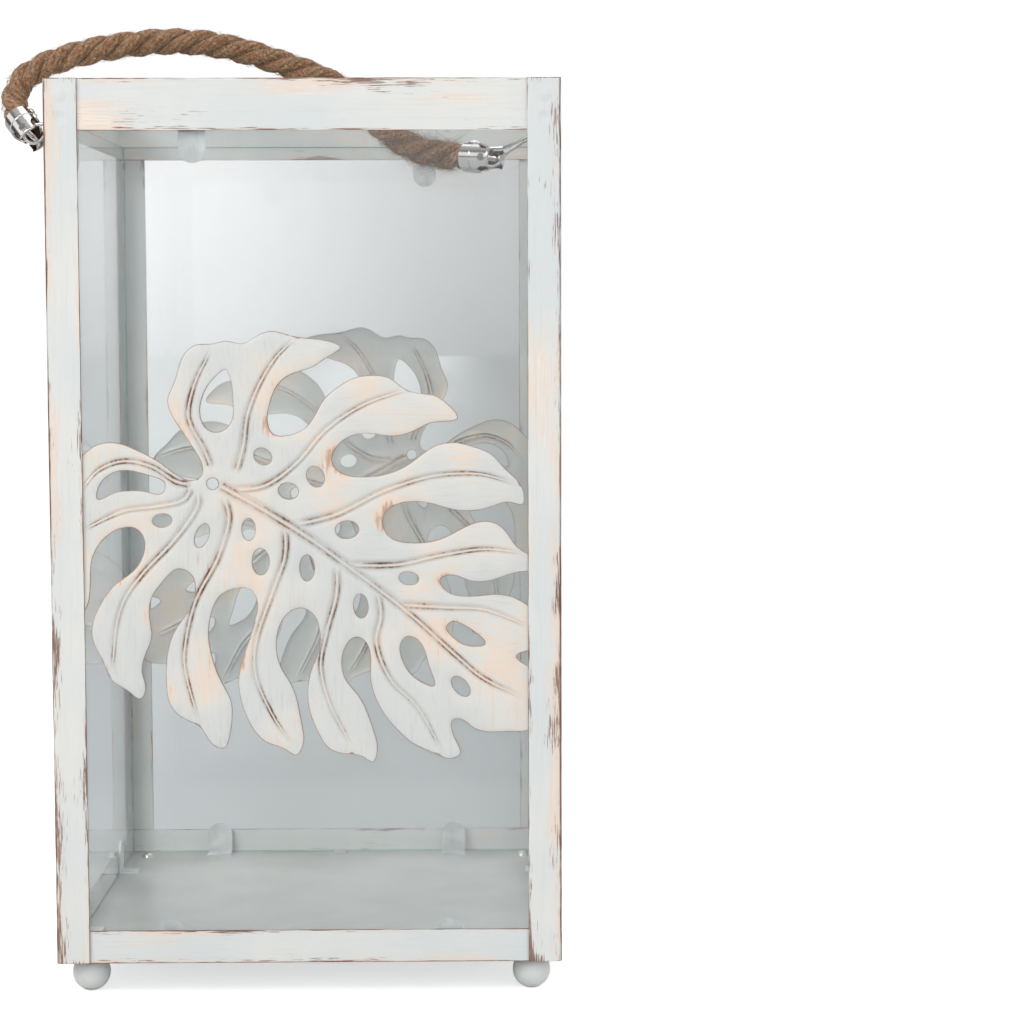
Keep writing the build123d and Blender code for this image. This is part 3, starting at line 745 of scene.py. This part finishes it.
def build_leaf():
    """The leaf as a flat triangle mesh in mm, finer along its ribs and rims."""
    loops, back = leaf_outline("front_leaf")
    loops = [spaced(loop, 0.8) for loop in loops]
    rims = np.vstack(loops)
    fine_ribs = [curve_through(rib, 0.35) for rib in RIBS]
    rows = []
    taken = []
    for rib in fine_ribs:
        line = rib[::3]
        along = np.gradient(line, axis=0)
        along /= np.linalg.norm(along, axis=1)[:, None]
        over = np.stack([-along[:, 1], along[:, 0]], 1)
        for d in RIB_ROWS:
            for sign in ((1,) if d == 0 else (-1, 1)):
                ring = line + over * d * sign
                if taken:
                    far = nearest(ring, np.vstack(taken))[0] > max(1.9, d)
                    ring = ring[far]
                rows.append(ring)
        taken.append(rib)
    all_ribs = np.vstack(fine_ribs)
    loops_in = []
    for loop in loops:
        along = np.roll(loop, -1, 0) - np.roll(loop, 1, 0)
        along /= np.linalg.norm(along, axis=1)[:, None]
        over = np.stack([-along[:, 1], along[:, 0]], 1)
        for d in (0.45, 1.0):
            for sign in (-1, 1):
                loops_in.append(loop + over * d * sign)
    rings = np.vstack(loops_in)
    rings = rings[inside(rings, loops)]
    rings = rings[nearest(rings, rims)[0] > 0.40]
    rings = rings[nearest(rings, all_ribs)[0] > 2.7]
    rows = np.vstack(rows)
    rows = rows[inside(rows, loops)]
    rows = rows[nearest(rows, rims)[0] > 0.35]
    gx, gz = np.meshgrid(np.arange(-99, 99, GRID), np.arange(90, 266, GRID * 0.866))
    gx = gx + (np.arange(gx.shape[0]) % 2)[:, None] * GRID / 2
    grid = np.stack([gx.ravel(), gz.ravel()], 1)
    grid = grid[inside(grid, loops)]
    grid = grid[(nearest(grid, rims)[0] > 1.5) & (nearest(grid, all_ribs)[0] > 3.0)]
    points = np.vstack([rims, rings, rows, grid])
    edges, first = [], 0
    for loop in loops:
        n = len(loop)
        edges += [(first + i, first + (i + 1) % n) for i in range(n)]
        first += n
    verts, _, faces, _, _, _ = delaunay_2d_cdt(
        [Vector(p) for p in points], edges, [], 0, 1e-5)
    flat = np.array([(v.x, v.y) for v in verts])
    faces = np.array([f for f in faces if len(f) == 3])
    middles = flat[faces].mean(1)
    faces = faces[inside(middles, loops)]
    used = np.unique(faces)
    renumber = np.full(len(flat), -1)
    renumber[used] = np.arange(len(used))
    flat, faces = flat[used], renumber[faces]
    return flat, faces, rims, fine_ribs, back


def leaf_relief(flat, rims, fine_ribs):
    """Height in mm above the sheet's face, and the masks that the paint reads."""
    to_rim = nearest(flat, rims)[0]
    groove, ridge = np.zeros(len(flat)), np.zeros(len(flat))
    near_rib = np.full(len(flat), 1e9)
    channel = np.zeros(len(flat))
    crest = np.zeros(len(flat))
    for number, rib in enumerate(fine_ribs):
        d, which = nearest(flat, rib)
        share = which / (len(rib) - 1)
        size = 1.25 if number == 0 else 1.0
        size = size * (1 - 0.45 * share)
        start = step_up(share, 0.0, 0.05) if number else np.ones(len(share))
        fade = np.minimum(start, step_up(1 - share, -0.02, 0.10))
        past = (which == 0) | (which == len(rib) - 1)
        fade = np.where(past, fade * np.exp(-(d / 1.0) ** 2), fade)
        peak = 0.66 * size * np.exp(-(d / (0.46 * size)) ** 2) * fade
        dip = 0.80 * size * np.exp(-((d - 1.25 * size) / (0.72 * size)) ** 2) * fade
        crest = np.maximum(crest, peak)
        channel = np.maximum(channel, dip)
        groove = np.maximum(groove, np.exp(-((d - 1.0 * size) / (0.75 * size)) ** 2) * fade)
        ridge = np.maximum(ridge, np.exp(-(d / 0.5) ** 2) * fade)
        near_rib = np.minimum(near_rib, np.where(past, d + 3, d))
    dome = 1.05 * (1 - np.exp(-near_rib / 4.5)) * (1 - np.exp(-to_rim / 3.2))
    low = np.array([noise.noise(Vector((x * 0.055, 4.0, z * 0.055))) for x, z in flat])
    dents = np.array([noise.noise(Vector((x * 0.22, 9.0, z * 0.22))) for x, z in flat])
    height = 0.35 + dome + 0.35 * low + 0.07 * dents - channel + crest * 1.15
    height -= 0.32 * np.exp(-to_rim / 0.7)
    edge_fade = 1 - step_up(np.abs(flat[:, 0]), 80.0, 86.0)
    height = np.maximum(height, -0.25) * edge_fade
    rim = np.exp(-to_rim / 0.55)
    warm = np.zeros(len(flat))
    for x, z, reach, strength in STAINS:
        r2 = (flat[:, 0] - x) ** 2 + (flat[:, 1] - z) ** 2
        spot = strength * np.exp(-r2 / reach ** 2) * np.exp(-to_rim / (reach * 0.55))
        warm = np.maximum(warm, spot)
    side = step_up(flat[:, 0] * 0.75 + flat[:, 1] - 186, -12, 12)
    side = side * step_up(flat[:, 0], -12, 8)
    return height, groove, ridge, rim, warm, side


def leaf_piece(name, turned, shape):
    """The pressed sheet: the relief in front, its skin behind, and walls along the rims."""
    flat, faces, rims, fine_ribs, back = shape
    height, groove, ridge, rim, warm, side = leaf_relief(flat, rims, fine_ribs)
    n = len(flat)
    face_y = back * 1000 - LEAF_SHEET
    front = np.stack([flat[:, 0], face_y - height, flat[:, 1]], 1) * MM
    rear_y = np.minimum(face_y - height + LEAF_SKIN, back * 1000)
    rear = np.stack([flat[:, 0], rear_y, flat[:, 1]], 1) * MM
    points = np.vstack([front, rear])
    a, b, c = front[faces[:, 0]], front[faces[:, 1]], front[faces[:, 2]]
    if np.cross(b - a, c - a)[:, 1].sum() > 0:
        faces = faces[:, ::-1]
    all_faces = [tuple(f) for f in faces] + [tuple(f[::-1] + n) for f in faces]
    once = {}
    for f in faces:
        for p, q in ((f[0], f[1]), (f[1], f[2]), (f[2], f[0])):
            key = (min(p, q), max(p, q))
            once[key] = None if key in once else (p, q)
    for pair in once.values():
        if pair is not None:
            p, q = pair
            all_faces.append((q, p, p + n, q + n))
    piece = make_mesh(name, points, all_faces, sharp=55)
    for label, values in (("groove", groove), ("ridge", ridge), ("rim", rim),
                          ("warm", warm), ("side", side)):
        give(piece.data, label, np.concatenate([values, values]))
    if turned:
        piece.rotation_euler = (0, 0, math.pi)
    return piece


leaf_shape = build_leaf()
leaf_material = leaf_paint()
front_leaf = leaf_piece("leaf_panel_front", False, leaf_shape)
back_leaf = leaf_piece("leaf_panel_back", True, leaf_shape)
for piece, node in ((front_leaf, "front_leaf"), (back_leaf, "back_leaf")):
    piece.data.materials.append(leaf_material)
    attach(piece, "lantern")
    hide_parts(node)


# ---------------------------------------------------------------- solder blob
def solder_blob():
    low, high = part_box("base_pan")
    points, faces = [], []
    rings, sides = 7, 20
    for i in range(rings + 1):
        tilt = 0.5 * math.pi * i / rings
        for j in range(sides):
            a = 2 * math.pi * j / sides
            lump = 1 + 0.22 * noise.noise(Vector((math.cos(a) * 1.4, math.sin(a) * 1.4, tilt)))
            r = 3.0 * MM * math.cos(tilt) ** 0.8 * lump
            points.append((0.002 + r * math.cos(a) * 1.25, high.y - 0.0045 + r * math.sin(a) * 0.8,
                           high.z - 0.0003 + 0.0019 * math.sin(tilt)))
    for i in range(rings):
        for j in range(sides):
            a, b = i * sides + j, i * sides + (j + 1) % sides
            faces.append((a, b, b + sides, a + sides))
    faces.append(tuple(range(rings * sides, (rings + 1) * sides)))
    faces.append(tuple(range(sides))[::-1])
    return make_mesh("solder_blob", points, faces)


blob = solder_blob()
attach(blob, "lantern")

# ---------------------------------------------------------------- finishes
post_edges = [("corner", OUT, 0.0019, 1.0), ("x", LEG, 0.0005, 0.9), ("y", LEG, 0.0005, 0.9),
              ("brim", TOP, 0.0010, 0.9), ("z", BASE_LOW, 0.0010, 0.7)]
top_edges = [("brim", TOP, 0.0010, 1.0), ("z", RAIL_LOW, 0.0005, 0.75)]
base_edges = [("z", BASE_TOP, 0.0006, 0.8), ("z", BASE_LOW, 0.0008, 0.85)]
materials = {
    "post": whitewash("post_whitewash", "z", post_edges, 0.0, 1.0, dents=True),
    "rail_x": whitewash("rail_whitewash_x", "x", top_edges, 0.03, 4.0),
    "rail_y": whitewash("rail_whitewash_y", "y", top_edges, 0.02, 6.0),
    "base_x": whitewash("base_whitewash_x", "x", base_edges, -0.01, 9.0),
    "base_y": whitewash("base_whitewash_y", "y", base_edges, -0.01, 2.0),
    "ball": whitewash("ball_whitewash", "z", [("z", 0.0, 0.0008, 0.8)], -0.03, 5.0),
    "glass": glass(),
    "pan": pan_grey(),
    "tab": tab_grey(),
    "screw": chrome("screw_steel", (0.62, 0.61, 0.58, 1), 0.22, 0.38, 2.0),
    "ferrule": chrome("polished_ferrule", (0.74, 0.72, 0.70, 1), 0.07, 0.16, 3.0),
    "wire": chrome("plated_wire", (0.64, 0.63, 0.61, 1), 0.10, 0.2, 5.0),
}
finish_of = {}
for place in ("front_left", "front_right", "back_left", "back_right"):
    finish_of[f"{place}_post"] = "post"
    finish_of[f"{place}_foot"] = "ball"
for face, axis in (("front", "x"), ("back", "x"), ("left", "y"), ("right", "y")):
    finish_of[f"{face}_top_rail"] = f"rail_{axis}"
    finish_of[f"{face}_base_rail"] = f"base_{axis}"
    finish_of[f"{face}_glass"] = "glass"
    finish_of[f"{face}_glass_tabs"] = "tab"
finish_of.update({
    "base_pan": "pan", "foot_screws": "screw",
    "left_bail": "wire", "right_bail": "wire",
    "left_pivot_wire": "wire", "right_pivot_wire": "wire",
})
for end in ("left", "right"):
    finish_of[f"{end}_ferrule"] = "ferrule"
    finish_of[f"{end}_ferrule_pin"] = "ferrule"
    finish_of[f"{end}_ferrule_rivet"] = "ferrule"
for name, piece in nodes.items():
    if name in ("rope", "front_leaf", "back_leaf"):
        continue
    piece.data.materials.clear()
    piece.data.materials.append(materials[finish_of[name]])
blob.data.materials.append(materials["pan"])


# ---------------------------------------------------------------- stage and light
FLOOR_REACH = 14.0
FLOOR_DROP = 0.0002      # the floor lies just under the feet
# tones of the studio seen through the glass: near floor, horizon, above it, and the share of them
# that is left on the left and on the right
BACKDROP_LOW = (0.57, 0.60, 0.605, 1)
BACKDROP_MIDDLE = (0.74, 0.76, 0.765, 1)
BACKDROP_HIGH = (1.0, 1.0, 1.0, 1)
# painted light on the left and a painted shadow on the right of the studio seen through the glass
BACKDROP_LIT_LEFT, BACKDROP_SHADOW_RIGHT = 1.12, 0.60


def floor():
    """Pale ground: lit and faintly glowing to the camera; seen through the glass it glows with a set
    tone, darker near the lantern, with painted light on the left and a painted shadow on the right.
    """
    rings, sides, points, faces = 24, 96, [], []
    for i in range(rings + 1):
        r = FLOOR_REACH * (i / rings) ** 2 + 0.02
        for j in range(sides):
            a = 2 * math.pi * j / sides
            points.append((r * math.cos(a), r * math.sin(a), -FLOOR_DROP))
    for i in range(rings):
        for j in range(sides):
            a, b = i * sides + j, i * sides + (j + 1) % sides
            faces.append((a, b, b + sides, a + sides))
    faces.append(tuple(range(sides)))
    piece = make_mesh("floor", points, faces, smooth=False)
    s = Shader("pale_floor")
    mottle = s.noise((3, 3, 3), 3, 0.5, 2.0)
    colour = s.mix(mottle, (0.82, 0.83, 0.84, 1), (0.87, 0.875, 0.88, 1))
    path = s.add("ShaderNodeLightPath")
    glow = s.math("MULTIPLY", path.outputs["Is Camera Ray"], 0.62)
    card = s.add("ShaderNodeBsdfPrincipled", None, {
        "Base Color": colour, "Roughness": 0.8, "Specular IOR Level": 0.2,
        "Emission Color": (1, 1, 1, 1), "Emission Strength": glow})
    away = s.add("ShaderNodeVectorMath", {"operation": "LENGTH"}, {0: s.where}).outputs["Value"]
    tone = s.mix(s.smooth(away, 0.2, 5.0), BACKDROP_LOW, BACKDROP_MIDDLE)
    # painted light and shadow: the tone seen through the glass is brighter on the left and darker on
    # the right
    aside = s.blend(s.smooth(s.x, -0.25, 0.2), BACKDROP_LIT_LEFT, BACKDROP_SHADOW_RIGHT)
    seen = s.add("ShaderNodeEmission", None, {"Color": tone, "Strength": aside})
    surface = s.add("ShaderNodeMixShader", None, {
        0: path.outputs["Is Transmission Ray"], 1: card.outputs[0], 2: seen.outputs[0]})
    s.add("ShaderNodeOutputMaterial", None, {0: surface.outputs[0]})
    piece.data.materials.append(s.mat)


def lamp(name, place, target, size, power, tint=(1, 1, 1)):
    data = bpy.data.lights.new(name, "AREA")
    data.shape = "RECTANGLE"
    data.size, data.size_y = size
    data.energy = power
    data.color = tint
    light = bpy.data.objects.new(name, data)
    light.location = place
    light.rotation_euler = (Vector(target) - Vector(place)).to_track_quat("-Z", "Y").to_euler()
    scene.collection.objects.link(light)


def surroundings():
    """White to the camera, soft grey-blue through the glass with painted light on the left and a
    painted shadow on the right, banded in reflections, even elsewhere.
    """
    world = bpy.data.worlds.new("studio")
    scene.world = world
    world.use_nodes = True
    tree = world.node_tree
    tree.nodes.clear()

    def background(stops, strength):
        """A background shaded by height: stops are (height from -1 to 1, colour)."""
        ramp = tree.nodes.new("ShaderNodeValToRGB")
        ramp.color_ramp.interpolation = "EASE"
        elements = ramp.color_ramp.elements
        elements[0].position, elements[0].color = (stops[0][0] + 1) / 2, stops[0][1]
        elements[1].position, elements[1].color = (stops[-1][0] + 1) / 2, stops[-1][1]
        for height, colour in stops[1:-1]:
            elements.new((height + 1) / 2).color = colour
        tree.links.new(lift.outputs[0], ramp.inputs[0])
        glow = tree.nodes.new("ShaderNodeBackground")
        glow.inputs[1].default_value = strength
        tree.links.new(ramp.outputs[0], glow.inputs[0])
        return glow

    def choose(share, first, second):
        node = tree.nodes.new("ShaderNodeMixShader")
        tree.links.new(share, node.inputs[0])
        tree.links.new(first.outputs[0], node.inputs[1])
        tree.links.new(second.outputs[0], node.inputs[2])
        return node

    coord = tree.nodes.new("ShaderNodeTexCoord")
    split = tree.nodes.new("ShaderNodeSeparateXYZ")
    tree.links.new(coord.outputs["Generated"], split.inputs[0])
    lift = tree.nodes.new("ShaderNodeMapRange")
    lift.inputs["From Min"].default_value = -1.0
    lift.inputs["From Max"].default_value = 1.0
    tree.links.new(split.outputs["Z"], lift.inputs["Value"])
    path = tree.nodes.new("ShaderNodeLightPath").outputs
    white = (1, 1, 1, 1)
    even = background([(-1, (0.8, 0.82, 0.84, 1)), (0.1, (0.86, 0.9, 0.93, 1)), (1, white)], 0.56)
    bands = background([
        (-0.4, (0.45, 0.45, 0.46, 1)), (-0.05, (0.05, 0.05, 0.055, 1)),
        (0.16, (0.10, 0.10, 0.11, 1)), (0.24, white), (0.5, (0.95, 0.95, 0.96, 1)),
        (0.6, (0.16, 0.16, 0.17, 1)), (0.9, (0.5, 0.5, 0.5, 1))], 1.1)
    backdrop = background([(-0.06, BACKDROP_MIDDLE), (0.05, BACKDROP_HIGH)], 1.0)
    plain = background([(-1, white), (1, white)], 1.05)
    # painted light and shadow: the backdrop seen through the glass is brighter on the left and darker
    # on the right
    aside = tree.nodes.new("ShaderNodeMapRange")
    aside.interpolation_type = "SMOOTHSTEP"
    aside.inputs["From Min"].default_value = -0.14
    aside.inputs["From Max"].default_value = 0.04
    aside.inputs["To Min"].default_value = BACKDROP_LIT_LEFT
    aside.inputs["To Max"].default_value = BACKDROP_SHADOW_RIGHT
    tree.links.new(split.outputs["X"], aside.inputs["Value"])
    tree.links.new(aside.outputs[0], backdrop.inputs[1])
    look = choose(path["Is Glossy Ray"], even, bands)
    look = choose(path["Is Transmission Ray"], look, backdrop)
    look = choose(path["Is Camera Ray"], look, plain)
    out = tree.nodes.new("ShaderNodeOutputWorld")
    tree.links.new(look.outputs[0], out.inputs[0])


floor()
surroundings()
lamp("key", (-1.3, -1.3, 1.5), (0, 0, 0.2), (1.0, 0.9), 15.5, (1.0, 0.985, 0.965))
lamp("front", (0.45, -2.3, 1.0), (0, 0, 0.18), (1.6, 1.0), 9.5, (0.99, 0.99, 1.0))
lamp("fill", (1.5, -1.0, 0.8), (0, 0, 0.18), (1.0, 1.2), 2.0, (0.96, 0.98, 1.0))
lamp("top", (0.1, 0.5, 1.9), (0, 0, 0.2), (1.6, 1.2), 6.0)
lamp("behind", (0.8, 2.0, 1.3), (0, 0, 0.18), (1.4, 1.0), 7.0)
scene.view_settings.view_transform = "Standard"
scene.view_settings.look = "None"
